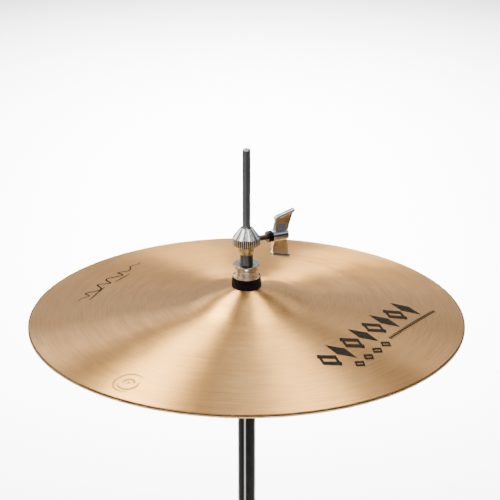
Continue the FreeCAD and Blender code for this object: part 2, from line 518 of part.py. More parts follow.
def make_heel_plate():
    y_low, y_high = HEEL_END_Y, PEDAL_Y - KNUCKLE_R - 1.5
    side = [V(-PEDAL_HALF_W, y_low, PLATE_TOP_Z), V(-PEDAL_HALF_W, y_high, PLATE_TOP_Z),
            V(-PEDAL_HALF_W, y_high, PEDAL_Z + 4), V(-PEDAL_HALF_W, y_low, PLATE_TOP_Z + 9)]
    heel = Part.Face(Part.makePolygon(side + side[:1])).extrude(V(2 * PEDAL_HALF_W, 0, 0))
    heel = soften(heel, 12, lambda e: upright(e) and e.BoundBox.YMax < y_low + 1)
    for x_low, x_high in ((-38, -15), (15, 38)):
        knuckle = bar_x(KNUCKLE_R, x_low, x_high, PEDAL_Y, PEDAL_Z)
        bridge = block(x_low, x_high, y_high - 2, PEDAL_Y, PEDAL_Z - KNUCKLE_R, PEDAL_Z + 3)
        heel = heel.fuse(knuckle).fuse(bridge)
    heel = heel.removeSplitter().cut(bar_x(HINGE_PIN_R, -50, 50, PEDAL_Y, PEDAL_Z))
    for x in (-28, 28):
        heel = heel.cut(disc(2.5, 0, 40, x, -292)).cut(disc(4.6, PLATE_TOP_Z + 9, 40, x, -292))
    save("heel_plate", heel)
    save("hinge_pin", bar_x(HINGE_PIN_R, -40, 40, PEDAL_Y, PEDAL_Z))


def on_pedal(shape):
    """Carries a shape built level, with the heel hinge at the origin, to the pressed pedal."""
    shape.Placement = FreeCAD.Placement(V(0, PEDAL_Y, PEDAL_Z), FreeCAD.Rotation(X_AXIS, PEDAL_TILT))
    return shape


def make_footboard():
    toe, half = PEDAL_LENGTH, PEDAL_HALF_W
    outline = [(-34, KNUCKLE_R + 2), (34, KNUCKLE_R + 2), (half, 90), (half, toe - 34), (half - 16, toe),
               (16 - half, toe), (-half, toe - 34), (-half, 90)]
    board = plate(outline, 1.0, 1.0 + PEDAL_THICK, 9)
    board = soften(board, 1.5, at_height(1.0 + PEDAL_THICK))
    for x in (-28, 25):
        board = board.fuse(block(x, x + 3, 18, toe - 30, -6, 1.0))
    board = board.fuse(bar_x(KNUCKLE_R, -14.6, 14.6, 0, 0))
    board = board.fuse(block(-14.6, 14.6, 0, 16, -3.0, 1.0 + PEDAL_THICK)).removeSplitter()
    save("footboard", on_pedal(board.cut(bar_x(HINGE_PIN_R + RUN, -20, 20, 0, 0))))

    top = 1.0 + PEDAL_THICK
    grips = []
    for i in range(9):
        y = 38 + 19 * i
        width = 24 - 0.9 * abs(i - 4)
        bar = block(-width, width, y - 3.5, y + 3.5, top, top + 1.6)
        bar = soften(bar, 3.4, upright)
        grips.append(on_pedal(bar))
    save("footboard_grips", *grips)

    tilt = math.radians(PEDAL_TILT)
    reach, rise = -PEDAL_Y, TOE_PIN_Z - PEDAL_Z
    pin_y = reach * math.cos(tilt) + rise * math.sin(tilt)
    pin_z = rise * math.cos(tilt) - reach * math.sin(tilt)
    bracket = block(-13, 13, pin_y - 15, pin_y + 10, top, top + 2.5)
    for x in (-9.4, 6.8):
        ear = block(x, x + 2.6, pin_y - 6.5, pin_y + 6.5, top, pin_z)
        bracket = bracket.fuse(ear).fuse(bar_x(6.5, x, x + 2.6, pin_y, pin_z))
    bracket = bracket.removeSplitter().cut(bar_x(CHAIN_PIN_R + CHAIN_PIN_PLAY, -20, 20, pin_y, pin_z))
    bracket = bracket.cut(bar_x(LINK_R + 1.2, -6.8, 6.8, pin_y, pin_z))
    save("toe_bracket", on_pedal(bracket))
    screws = []
    for x in (-8, 8):
        screw = disc(3.2, top + 2.5, top + 4.4, x, pin_y - 11)
        screws.append(screw.cut(block(x - 4, x + 4, pin_y - 11.4, pin_y - 10.6, top + 3.6, top + 5)))
    save("toe_bracket_screws", *[on_pedal(screw) for screw in screws])


# --- legs and tension knob ---------------------------------------------------------------------------------
def leg_strip(offset, length):
    """One flat strip of a leg, along +X from the hinge at the origin."""
    half = LEG_HEIGHT / 2
    strip = block(0, length, offset, offset + STRIP_THICK, -half, half)
    for x in (0, length):
        strip = strip.fuse(bar_y(half, offset, offset + STRIP_THICK, x, 0))
    strip = strip.removeSplitter()
    return strip.cut(bar_y(LEG_PIN_R + RUN, offset - 1, offset + STRIP_THICK + 1, 0, 0))


def make_legs():
    run, drop = FOOT_R - LEG_HINGE_R, LEG_HINGE_Z - LEG_HEIGHT / 2 - 3
    length = math.hypot(run, drop)
    slope = math.degrees(math.atan2(drop, run))
    pins = []
    for name, angle in LEG_ANGLES.items():
        def out(shape, tip):
            shape.Placement = FreeCAD.Placement(V(), FreeCAD.Rotation(Z_AXIS, angle)).multiply(
                FreeCAD.Placement(V(LEG_HINGE_R, 0, LEG_HINGE_Z), FreeCAD.Rotation(Y_AXIS, tip)))
            return shape
        strips = [leg_strip(offset, length) for offset in (STRIP_OFFSET, -STRIP_OFFSET - STRIP_THICK)]
        outside = STRIP_OFFSET + STRIP_THICK
        rivets = []
        for x in (58, length / 2, length - 42):
            rivets.append(bar_y(3.0, -STRIP_OFFSET, STRIP_OFFSET, x, 0))
            rivets += [bar_y(4.0, head, head + 1.5, x, 0) for head in (outside, -outside - 1.5)]
        strips = [out(strip, slope) for strip in strips]
        rivets = [out(rivet, slope) for rivet in rivets]
        foot = block(run - 17, run + 14, -12, 12, -LEG_HINGE_Z, -LEG_HINGE_Z + 19)
        foot = soften(foot, 6, upright)
        foot = soften(foot, 2.5, at_height(-LEG_HINGE_Z + 19))
        foot = out(foot, 0)
        for strip in strips:
            foot = foot.cut(strip)
        save(f"leg_{name}_strips", *strips)
        save(f"leg_{name}_rivets", *rivets)
        save(f"leg_{name}_foot", foot)
        pin = bar_y(LEG_PIN_R, -outside - 1, outside + 1, 0, 0)
        for head in (outside + 0.1, -outside - 2.4):
            pin = pin.fuse(bar_y(5.2, head, head + 2.3, 0, 0))
        pins.append(out(pin.removeSplitter(), 0))
    save("leg_pins", *pins)


def make_tension_knob():
    low, high = KNOB_LOW_Z, KNOB_LOW_Z + KNOB_H
    knob = turned([(LOWER_TUBE_R + RUN, low), (KNOB_R - 2, low), (KNOB_R, low + 2), (KNOB_R, high - 2),
                   (KNOB_R - 2, high), (LOWER_TUBE_R + RUN, high)])
    save("tension_knob", fluted(knob, KNOB_R, low, high, count=18, flute_r=2.0))


def main():
    os.makedirs("parts", exist_ok=True)
    for make in (make_cymbals, make_clutch, make_lock_nuts, make_clutch_felts, make_pull_rod, make_chain,
                 make_spring, make_seat, make_tubes, make_height_clamp, make_memory_lock, make_yoke,
                 make_tube_screw, make_base_plate, make_spurs, make_heel_plate, make_footboard, make_legs,
                 make_tension_knob):
        make()


main()
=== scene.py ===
"""Hi-hat: materials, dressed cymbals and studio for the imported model.  Units are metres, +Z is up."""
import bpy
import json
import math
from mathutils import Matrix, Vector, noise


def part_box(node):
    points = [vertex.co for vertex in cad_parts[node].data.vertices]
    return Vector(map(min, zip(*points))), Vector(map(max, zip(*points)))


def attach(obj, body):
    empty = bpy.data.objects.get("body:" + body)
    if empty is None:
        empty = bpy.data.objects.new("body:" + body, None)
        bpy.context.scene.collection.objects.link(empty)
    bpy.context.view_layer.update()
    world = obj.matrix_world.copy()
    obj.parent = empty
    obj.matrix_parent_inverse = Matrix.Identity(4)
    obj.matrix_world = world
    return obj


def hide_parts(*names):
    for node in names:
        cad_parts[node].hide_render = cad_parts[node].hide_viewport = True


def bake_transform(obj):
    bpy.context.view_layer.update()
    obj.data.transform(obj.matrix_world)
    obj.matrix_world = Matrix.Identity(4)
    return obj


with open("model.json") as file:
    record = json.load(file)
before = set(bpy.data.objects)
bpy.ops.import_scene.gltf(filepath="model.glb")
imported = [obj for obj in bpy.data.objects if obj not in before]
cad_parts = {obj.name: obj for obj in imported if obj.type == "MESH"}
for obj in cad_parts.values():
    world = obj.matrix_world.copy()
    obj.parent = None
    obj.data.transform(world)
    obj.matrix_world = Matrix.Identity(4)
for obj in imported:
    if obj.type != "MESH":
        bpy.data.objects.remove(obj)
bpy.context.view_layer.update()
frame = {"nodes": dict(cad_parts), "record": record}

# --- the cymbals' form, as the CAD has it ------------------------------------------------------------------
RIM_Z = 0.850
CYMBAL_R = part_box("top_cymbal")[1][0]
BELL_RISE = 0.0308
BOW_R, DOME_R, BLEND_R, HOLE_R = 1.000, 0.105, 0.040, 0.0062
TOP_THICK, BOTTOM_THICK = 0.0011, 0.0013

# --- the clutch's form, as the CAD has it ------------------------------------------------------------------
FLUTES = 40                     # round the clutch body, the first one toward +X
SCREW_TURN = math.radians(25)   # of the clutch screw, back from +X
BOSS_SHADE_END = 0.0241         # along the screw from the rod's axis, where the painted shade on its boss ends
RING_PITCH = 0.0017             # of the rings turned round that boss


# --- node helpers ------------------------------------------------------------------------------------------
class Nodes:
    """A new material and short ways to wire its nodes."""

    def __init__(self, name):
        self.material = bpy.data.materials.new(name)
        self.material.use_nodes = True
        self.tree = self.material.node_tree
        self.tree.nodes.clear()
        out = self.tree.nodes.new("ShaderNodeOutputMaterial")
        self.shader = self.tree.nodes.new("ShaderNodeBsdfPrincipled")
        self.tree.links.new(self.shader.outputs[0], out.inputs[0])
        self.place = self.tree.nodes.new("ShaderNodeTexCoord").outputs["Object"]

    def put(self, socket, value):
        """Links value to socket if it is an output, or else sets it."""
        if isinstance(value, bpy.types.NodeSocket):
            self.tree.links.new(value, socket)
        else:
            socket.default_value = value

    def set(self, **values):
        for name, value in values.items():
            self.put(self.shader.inputs[name.replace("_", " ")], value)

    def math(self, operation, a, b=0.0):
        node = self.tree.nodes.new("ShaderNodeMath")
        node.operation = operation
        self.put(node.inputs[0], a)
        self.put(node.inputs[1], b)
        return node.outputs[0]

    def split(self, vector):
        """The X, Y and Z of a vector."""
        node = self.tree.nodes.new("ShaderNodeSeparateXYZ")
        self.put(node.inputs[0], vector)
        return node.outputs

    def distance_along(self, direction):
        """How far a point lies along a direction from the rod's axis at the floor."""
        node = self.tree.nodes.new("ShaderNodeVectorMath")
        node.operation = "DOT_PRODUCT"
        self.put(node.inputs[0], self.place)
        node.inputs[1].default_value = direction
        return node.outputs["Value"]

    def noise(self, scale, detail=2.0, vector=None, roughness=0.5):
        """Noise from 0 to 1."""
        node = self.tree.nodes.new("ShaderNodeTexNoise")
        self.put(node.inputs["Vector"], self.place if vector is None else vector)
        node.inputs["Scale"].default_value = scale
        node.inputs["Detail"].default_value = detail
        node.inputs["Roughness"].default_value = roughness
        return node.outputs["Fac"]

    def lathe_noise(self, across, along, detail):
        """Noise in rings round the rod's axis, scaled by across from ring to ring and by along round each."""
        x, y, _ = self.split(self.place)
        squares = [self.math("MULTIPLY", value, value) for value in (x, y)]
        radius = self.math("SQRT", self.math("ADD", *squares))
        join = self.tree.nodes.new("ShaderNodeCombineXYZ")
        self.put(join.inputs[0], self.math("MULTIPLY", radius, across))
        for socket, value in zip(join.inputs[1:], (x, y)):
            self.put(socket, self.math("MULTIPLY", self.math("DIVIDE", value, radius), along))
        return self.noise(1.0, detail, vector=join.outputs[0])

    def remap(self, value, low, high, to_low, to_high):
        """Carries low to to_low and high to to_high, and stays between them."""
        node = self.tree.nodes.new("ShaderNodeMapRange")
        self.put(node.inputs[0], value)
        for socket, limit in zip(node.inputs[1:5], (low, high, to_low, to_high)):
            socket.default_value = limit
        return node.outputs[0]

    def mix(self, factor, first, second):
        """The first colour where factor is 0, the second where it is 1."""
        node = self.tree.nodes.new("ShaderNodeMix")
        node.data_type = "RGBA"
        self.put(node.inputs[0], factor)
        for socket, colour in zip(node.inputs[6:8], (first, second)):
            self.put(socket, colour if isinstance(colour, bpy.types.NodeSocket) else (*colour, 1))
        return node.outputs[2]

    def bump(self, height, distance, strength=1.0, after=None):
        node = self.tree.nodes.new("ShaderNodeBump")
        node.inputs["Distance"].default_value = distance
        node.inputs["Strength"].default_value = strength
        self.put(node.inputs["Height"], height)
        if after is not None:
            self.put(node.inputs["Normal"], after)
        return node.outputs[0]

    def turn(self, amount):
        """Spreads highlights across the rings that a lathe leaves round the rod's axis."""
        tangent = self.tree.nodes.new("ShaderNodeTangent")
        tangent.direction_type = "RADIAL"
        tangent.axis = "Z"
        self.put(self.shader.inputs["Tangent"], tangent.outputs[0])
        self.set(Anisotropic=amount, Anisotropic_Rotation=0.25)

    def worn_edges(self, amount):
        """The amount on outer edges, 0 elsewhere."""
        node = self.tree.nodes.new("ShaderNodeNewGeometry")
        return self.remap(node.outputs["Pointiness"], 0.5, 0.56, 0.0, amount)

    def round_edges(self, radius):
        """A normal that rounds sharp edges."""
        node = self.tree.nodes.new("ShaderNodeBevel")
        node.samples = 6
        node.inputs["Radius"].default_value = radius
        return node.outputs[0]


# --- materials ---------------------------------------------------------------------------------------------
def bronze():
    """Lathed bronze.  Fine grooves round the axis spread its highlights into fans."""
    m = Nodes("lathed_bronze")
    bands = m.lathe_noise(170.0, 0.7, 3.0)
    streaks = m.lathe_noise(1100.0, 5.0, 4.0)
    patina = m.noise(16.0, 4.0)
    smudge = m.noise(48.0, 5.0, roughness=0.6)
    tone = m.mix(m.remap(bands, 0.3, 0.7, 0.0, 1.0), (0.80, 0.43, 0.155), (0.93, 0.525, 0.205))
    tone = m.mix(m.remap(patina, 0.35, 0.7, 0.0, 0.6), tone, (0.79, 0.41, 0.135))
    tone = m.mix(m.remap(streaks, 0.42, 0.70, 0.0, 0.7), tone, (0.60, 0.31, 0.10))
    tone = m.mix(m.remap(smudge, 0.45, 0.75, 0.0, 0.25), tone, (0.97, 0.60, 0.27))
    m.set(Base_Color=tone, Metallic=1.0)
    m.turn(1.0)
    m.set(Roughness=m.remap(m.math("ADD", smudge, bands), 0.7, 1.3, 0.30, 0.41))
    grooves = m.math("ADD", m.math("MULTIPLY", bands, 0.8), m.math("MULTIPLY", streaks, 0.45))
    m.set(Normal=m.bump(grooves, 0.00014, 0.7, after=m.bump(smudge, 0.0002, 0.14)))
    return m.material


def cut_edge(name, light, dark, metal):
    """The turned edge of a cymbal, duller than its faces."""
    m = Nodes(name)
    spots = m.noise(160.0, 4.0)
    fine = m.noise(1300.0, 2.0)
    m.set(Base_Color=m.mix(m.remap(spots, 0.35, 0.7, 0.0, 1.0), light, dark), Metallic=metal)
    m.set(Roughness=m.remap(fine, 0.3, 0.7, 0.40, 0.56), Normal=m.bump(fine, 0.0001, 0.25))
    return m.material


def plated(name, colour, rough, smear=0.05, grain=0.02):
    """Polished or satin plate with faint smears, pin marks and slightly rounded edges."""
    m = Nodes(name)
    cloud = m.noise(60.0, 4.0)
    fine = m.noise(1400.0, 2.0)
    dark = tuple(0.82 * c for c in colour)
    m.set(Base_Color=m.mix(m.remap(cloud, 0.35, 0.75, 0.0, 0.6), colour, dark), Metallic=1.0)
    m.set(Roughness=m.remap(m.math("ADD", cloud, fine), 0.6, 1.4, rough, rough + smear))
    m.set(Normal=m.bump(fine, 0.0001, grain, after=m.round_edges(0.0003)))
    return m.material


def turned_chrome():
    """Plate brushed in rings on the sloping faces, with the vertical faces painted darker and painted shade
    in their grip flutes.
    """
    m = Nodes("turned_chrome")
    cloud = m.noise(60.0, 4.0)
    fine = m.noise(1400.0, 2.0)
    _, _, upward = m.split(m.tree.nodes.new("ShaderNodeNewGeometry").outputs["Normal"])
    slope = m.remap(upward, 0.15, 0.45, 0.0, 1.0)
    x, y, _ = m.split(m.place)
    # Painted shade: the vertical faces take a darker, bluish colour than the sloping ones, and near black in
    # stripes at the flutes, standing in for dark reflections.
    flutes = m.math("COSINE", m.math("MULTIPLY", m.math("ARCTAN2", y, x), FLUTES))
    vertical_painted_shade = m.mix(m.remap(flutes, -0.3, 0.4, 0.0, 1.0), (0.56, 0.58, 0.65), (0.025, 0.025, 0.025))
    m.set(Base_Color=m.mix(slope, vertical_painted_shade, (0.76, 0.76, 0.79)), Metallic=1.0)
    brushed = m.math("MULTIPLY", slope, 0.17)
    m.set(Roughness=m.math("ADD", brushed, m.remap(cloud, 0.3, 0.7, 0.06, 0.11)))
    m.set(Normal=m.bump(fine, 0.0001, 0.04, after=m.round_edges(0.00008)))
    m.turn(0.9)
    return m.material


def wing_chrome():
    """Cast and plated wing, with painted shade in the rings turned round its boss's near end."""
    m = Nodes("wing_chrome")
    cloud = m.noise(60.0, 4.0)
    fine = m.noise(1400.0, 2.0)
    reach = m.distance_along((math.cos(SCREW_TURN), math.sin(SCREW_TURN), 0.0))
    # Painted shade: the screw and the near end of the boss are coloured near black, in rings, standing in for
    # the shade there.
    rings = m.math("COSINE", m.math("MULTIPLY", reach, 2 * math.pi / RING_PITCH))
    painted_shade_rings = m.mix(m.remap(rings, -0.4, 0.5, 0.0, 1.0), (0.05, 0.05, 0.052), (0.004, 0.004, 0.004))
    beyond_painted_shade = m.remap(reach, BOSS_SHADE_END - 0.0003, BOSS_SHADE_END + 0.0003, 0.0, 1.0)
    m.set(Base_Color=m.mix(beyond_painted_shade, painted_shade_rings, (0.72, 0.77, 0.90)), Metallic=1.0)
    m.set(Roughness=m.remap(m.math("ADD", cloud, fine), 0.6, 1.4, 0.12, 0.22))
    m.set(Normal=m.bump(fine, 0.0001, 0.08, after=m.round_edges(0.0003)))
    return m.material


def felt():
    """Pressed black wool."""
    m = Nodes("black_felt")
    fluff = m.noise(1500.0, 4.0, roughness=0.7)
    lumps = m.noise(260.0, 3.0)
    tone = m.mix(m.remap(fluff, 0.35, 0.7, 0.0, 1.0), (0.0012, 0.0012, 0.0012), (0.004, 0.004, 0.0045))
    m.set(Base_Color=tone)
    m.set(Roughness=1.0, Sheen_Weight=0.04, Sheen_Roughness=0.6, Specular_IOR_Level=0.06)
    m.set(Normal=m.bump(m.math("ADD", fluff, lumps), 0.0006, 0.8))
    return m.material


def moulded(name, colour, rough, grain_scale=900.0, grain=0.3, spec=0.4):
    """Rubber or nylon with a moulded grain and dusty high spots."""
    m = Nodes(name)
    grit = m.noise(grain_scale, 3.0)
    dust = m.noise(30.0, 5.0, roughness=0.65)
    pale = tuple(c * 1.6 + 0.012 for c in colour)
    m.set(Base_Color=m.mix(m.remap(dust, 0.4, 0.8, 0.0, 0.7), colour, pale), Specular_IOR_Level=spec)
    m.set(Roughness=m.remap(grit, 0.3, 0.7, rough - 0.08, rough + 0.08))
    m.set(Normal=m.bump(grit, 0.0002, grain))
    return m.material


def powder_coat():
    """Black powder coat with orange peel, rubbed to the metal on its edges."""
    m = Nodes("black_powder_coat")
    orange_peel = m.noise(700.0, 2.0)
    wear = m.worn_edges(0.7)
    m.set(Base_Color=m.mix(wear, (0.012, 0.012, 0.014), (0.22, 0.22, 0.22)))
    m.set(Metallic=m.math("MULTIPLY", wear, 0.8), Specular_IOR_Level=0.5)
    m.set(Roughness=m.remap(orange_peel, 0.3, 0.7, 0.32, 0.48))
    m.set(Normal=m.bump(orange_peel, 0.0002, 0.35))
    return m.material


def casting():
    """A tumbled light-alloy casting with brighter edges."""
    m = Nodes("tumbled_casting")
    grit = m.noise(1100.0, 3.0)
    cloud = m.noise(35.0, 4.0)
    tone = m.mix(m.remap(cloud, 0.3, 0.75, 0.0, 1.0), (0.58, 0.58, 0.59), (0.46, 0.46, 0.475))
    m.set(Base_Color=m.mix(m.worn_edges(0.6), tone, (0.78, 0.78, 0.79)), Metallic=1.0)
    m.set(Roughness=m.remap(m.math("ADD", grit, cloud), 0.7, 1.4, 0.28, 0.46))
    m.set(Normal=m.bump(grit, 0.00015, 0.35))
    return m.material


def ink():
    """Dull black ink, thin enough in specks to show some brown."""
    m = Nodes("printed_ink")
    speckle = m.noise(1200.0, 3.0)
    tone = m.mix(m.remap(speckle, 0.4, 0.75, 0.0, 1.0), (0.006, 0.006, 0.007), (0.030, 0.022, 0.016))
    m.set(Base_Color=tone)
    m.set(Roughness=m.remap(speckle, 0.3, 0.7, 0.55, 0.75), Specular_IOR_Level=0.08)
    return m.material


def stamped():
    """The golden bottom of a mark struck into the bronze."""
    m = Nodes("stamped_bronze")
    speckle = m.noise(900.0, 3.0)
    m.set(Base_Color=m.mix(m.remap(speckle, 0.3, 0.7, 0.0, 1.0), (0.50, 0.26, 0.07), (0.66, 0.38, 0.13)))
    m.set(Metallic=0.7, Roughness=m.remap(speckle, 0.3, 0.7, 0.45, 0.60))
    m.set(Normal=m.bump(speckle, 0.0001, 0.3))
    return m.material


MATERIALS = {
    "bronze": bronze(),
    "chrome": plated("polished_chrome", (0.66, 0.66, 0.67), 0.05),
    "dark_steel": plated("blackened_steel", (0.085, 0.083, 0.080), 0.30, smear=0.12, grain=0.15),
    "black_felt": felt(),
    "zinc_steel": plated("bright_zinc", (0.66, 0.66, 0.67), 0.22, smear=0.12, grain=0.10),
    "chain_steel": plated("oiled_steel", (0.36, 0.35, 0.34), 0.26, smear=0.14, grain=0.12),
    "black_nylon": moulded("black_nylon", (0.014, 0.014, 0.015), 0.46),
    "cast_metal": casting(),
    "black_steel": powder_coat(),
    "rubber": moulded("black_rubber", (0.016, 0.016, 0.016), 0.72, grain=0.45, spec=0.3),
}
INK = ink()
STAMPED = stamped()
# Lit and shaded copies of one turned edge: the top cymbal's rim is painted dark as painted shade, and the
# bottom cymbal's rim is painted bright gold as painted light.
PAINTED_SHADE_RIM = cut_edge("painted_shade_rim_edge", (0.14, 0.062, 0.020), (0.09, 0.038, 0.012), 0.6)
PAINTED_LIGHT_RIM = cut_edge("painted_light_rim_edge", (0.98, 0.68, 0.30), (0.94, 0.56, 0.20), 0.0)
SATIN_CHROME = plated("satin_chrome", (0.44, 0.42, 0.39), 0.20, smear=0.12, grain=0.12)
CAST_CHROME = plated("cast_chrome", (0.52, 0.53, 0.56), 0.15, smear=0.10, grain=0.08)
DARK_CHROME = plated("dark_chrome", (0.37, 0.36, 0.36), 0.05)
# Painted shade: the upper tube's chrome is given a near-black colour, standing in for the dark room that it
# reflects.
PAINTED_SHADE_CHROME = plated("painted_shade_chrome", (0.095, 0.093, 0.093), 0.04)
OWN_CHROME = {
    "clutch_body": turned_chrome(),
    "clutch_screw_wing": wing_chrome(),
    "height_bolt_wing": CAST_CHROME,
    "upper_lock_nut": SATIN_CHROME,
    "lower_lock_nut": SATIN_CHROME,
    "upper_pull_rod": DARK_CHROME,
    "upper_tube": PAINTED_SHADE_CHROME,
}


def dress_nodes():
    """Gives every CAD node the material of its slot, or the kind of chrome that it has to itself."""
    slots = {row["node"]: row["material_slot"] for row in frame["record"]["subparts"]}
    for name, node in frame["nodes"].items():
        node.data.materials.clear()
        node.data.materials.append(OWN_CHROME.get(name, MATERIALS[slots[name]]))


# --- mesh helpers ------------------------------------------------------------------------------------------
def new_piece(name, points, faces, material):
    """A mesh whose quads are shaded smooth and whose other faces are flat."""
    mesh = bpy.data.meshes.new(name)
    mesh.from_pydata(points, [], faces)
    mesh.update()
    mesh.polygons.foreach_set("use_smooth", [len(face) == 4 for face in faces])
    mesh.materials.append(material)
    piece = bpy.data.objects.new(name, mesh)
    bpy.context.scene.collection.objects.link(piece)
    return piece


def riding_piece(name, points, faces, material, body):
    piece = new_piece(name, points, faces, material)
    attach(piece, body)
    return piece


# --- cymbals -----------------------------------------------------------------------------------------------
# The bow and the bell's dome are spheres centred on the axis, joined by a hollow fillet of radius BLEND_R.
BOW_Z = -math.sqrt(BOW_R ** 2 - CYMBAL_R ** 2)
DOME_Z = BELL_RISE - math.sqrt(DOME_R ** 2 - HOLE_R ** 2)
BLEND_TO_DOME, BLEND_TO_BOW = DOME_R + BLEND_R, BOW_R + BLEND_R
BLEND_Z = (BLEND_TO_DOME ** 2 - BLEND_TO_BOW ** 2 + BOW_Z ** 2 - DOME_Z ** 2) / 2 / (BOW_Z - DOME_Z)
BLEND_X = math.sqrt(BLEND_TO_DOME ** 2 - (BLEND_Z - DOME_Z) ** 2)
DENT_DEPTH = 0.00005
RINGS, SPOKES, RIM_STEPS = 150, 256, 6      # of the mesh: along a face, round the axis and round the rim


def face_height(r, depth=0.0):
    """Height above the rim, at distance r from the axis, of the surface that lies depth under the face."""
    toward_dome = (BLEND_R + depth) * BLEND_X / BLEND_TO_DOME
    toward_bow = (BLEND_R + depth) * BLEND_X / BLEND_TO_BOW
    if r < BLEND_X - toward_dome:
        return DOME_Z + math.sqrt((DOME_R - depth) ** 2 - r * r)
    if r < BLEND_X - toward_bow:
        return BLEND_Z - math.sqrt((BLEND_R + depth) ** 2 - (r - BLEND_X) ** 2)
    return BOW_Z + math.sqrt((BOW_R - depth) ** 2 - r * r)


def hammered(x, y, seed):
    """Depth, as a negative height, of the hammer dents, which fade out at the bell's hole and at the rim."""
    r = math.hypot(x, y)
    fade = min(1.0, max(0.0, (CYMBAL_R - r) / 0.012)) * min(1.0, max(0.0, (r - 0.012) / 0.02))
    broad = noise.noise(Vector((x * 34, y * 34, seed)))
    small = noise.noise(Vector((x * 75, y * 75, seed + 5)))
    return DENT_DEPTH * fade * (broad + 0.5 * small - 1.3)


def cymbal_outline(thick):
    """The (r, z) points of a cymbal's section: its outer face, its rounded rim, then its inner face."""
    radii = [HOLE_R + (CYMBAL_R - HOLE_R) * i / RINGS for i in range(RINGS)]
    outer = [(r, face_height(r)) for r in radii]
    inner = [(r, face_height(r, thick)) for r in reversed(radii)]
    half = -face_height(CYMBAL_R, thick) / 2
    turns = [math.pi * (0.5 - i / RIM_STEPS) for i in range(RIM_STEPS + 1)]
    rim = [(CYMBAL_R - half * (1 - math.cos(a)), half * (math.sin(a) - 1)) for a in turns]
    return outer + rim + inner


def cymbal_mesh(name, node, rim_z, thick, up, seed, edge):
    """A finely divided cymbal with a rounded rim and hammer dents, in place of its CAD node."""
    outline = cymbal_outline(thick)
    count = len(outline)
    first_rim, last_rim = RINGS, RINGS + RIM_STEPS
    points, faces = [], []
    for k in range(SPOKES):
        angle = 2 * math.pi * k / SPOKES
        for i, (r, z) in enumerate(outline):
            x, y = r * math.cos(angle), r * math.sin(angle)
            dent = 0.0 if first_rim <= i <= last_rim else hammered(x, y, seed)
            points.append((x, y, rim_z + up * (z + dent)))
    for k in range(SPOKES):
        here, there = k * count, (k + 1) % SPOKES * count
        for i in range(count):
            j = (i + 1) % count
            quad = [here + i, here + j, there + j, there + i]
            faces.append(quad if up > 0 else quad[::-1])
    piece = riding_piece(name, points, faces, MATERIALS["bronze"], node)
    piece.data.materials.append(edge)
    for i, face in enumerate(piece.data.polygons):
        face.material_index = 1 if first_rim - 1 <= i % count <= last_rim else 0
    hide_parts(node)


# --- marks on the top cymbal -------------------------------------------------------------------------------
INK_LIFT = 0.00006              # of a printed mark above the bronze


class Mark:
    """Thin shapes laid on the top cymbal from (x, y).  u runs along the mark and v across it, to the left."""

    def __init__(self, name, material, x, y, azimuth):
        self.name = name
        self.material = material
        self.x, self.y = x, y
        self.azimuth = math.radians(azimuth)
        self.points, self.faces = [], []

    def place(self, u, v):
        x = self.x + u * math.cos(self.azimuth) - v * math.sin(self.azimuth)
        y = self.y + u * math.sin(self.azimuth) + v * math.cos(self.azimuth)
        return (x, y, RIM_Z + face_height(math.hypot(x, y)) + INK_LIFT)

    def patch(self, rows):
        """A patch between rows of (u, v) points, each row as long as the first."""
        first, count = len(self.points), len(rows[0])
        for row in rows:
            self.points += [self.place(u, v) for u, v in row]
        for i in range(len(rows) - 1):
            for j in range(count - 1):
                a = first + i * count + j
                self.faces.append((a, a + count, a + count + 1, a + 1))

    def stroke(self, path, width):
        """A pen stroke along a path of (u, v) points, thinner over the quarter of it at each end."""
        rows = []
        last = len(path) - 1
        for i, (u, v) in enumerate(path):
            before, after = path[max(i - 1, 0)], path[min(i + 1, last)]
            along = Vector((after[0] - before[0], after[1] - before[1])).normalized()
            full = min(1.0, 4 * i / len(path), 4 * (last - i) / len(path))
            half = width / 2 * (0.35 + 0.65 * full)
            across = Vector((-along.y, along.x)) * half
            rows.append([(u + across.x, v + across.y), (u - across.x, v - across.y)])
        self.patch(rows)

    def lozenge(self, u, v, half_u, half_v):
        """A solid lozenge centred on (u, v)."""
        rows = []
        for i in range(9):
            t = i / 4 - 1
            reach = half_v * (1 - abs(t)) + 0.0001
            rows.append([(u + half_u * t, v + reach * k / 3) for k in (-3, -2, -1, 0, 1, 2, 3)])
        self.patch(rows)

    def open_lozenge(self, u, v, half_u, half_v, width):
        """The outline of a lozenge, drawn inward from its corners, with two opposite sides thinner."""
        arms = ((half_u, 0), (0, half_v), (-half_u, 0), (0, -half_v))
        corners = [Vector((u + du, v + dv)) for du, dv in arms]
        for i in range(4):
            start, end = corners[i], corners[(i + 1) % 4]
            side = end - start
            inward = Vector((-side.y, side.x)).normalized() * width * (1 if i % 2 == 0 else 0.45)
            rows = []
            for k in range(7):
                outer = start + side * k / 6
                rows.append([tuple(outer), tuple(outer + inward / 2), tuple(outer + inward)])
            self.patch(rows)

    def arc(self, radius, start, sweep, width):
        """A stroke round the mark's origin, from angle start on by sweep, in degrees."""
        angles = [math.radians(start + sweep * i / 24) for i in range(25)]
        self.stroke([(radius * math.cos(a), radius * math.sin(a)) for a in angles], width)

    def finish(self):
        riding_piece(self.name, self.points, self.faces, self.material, "top_cymbal")


def print_large_mark():
    """A row of bold lozenges, open and solid by turns, over a row of small ones and a dotted line."""
    mark = Mark("large_printed_mark", INK, 0.066, -0.120, 57.0)
    bold_pitch, bold_v = 0.0185, 0.004
    for i in range(0, 8, 2):
        mark.open_lozenge(0.010 + bold_pitch * i, bold_v, 0.0098, 0.0125, 0.0056)
        mark.lozenge(0.010 + bold_pitch * (i + 1), bold_v, 0.0062, 0.0155)
    for i in range(4):
        mark.open_lozenge(0.022 + 0.0145 * i, -0.018, 0.0058, 0.0054, 0.0032)
    for i in range(26):
        mark.lozenge(0.078 + 0.0031 * i, -0.0155, 0.0013, 0.0024)
    mark.finish()


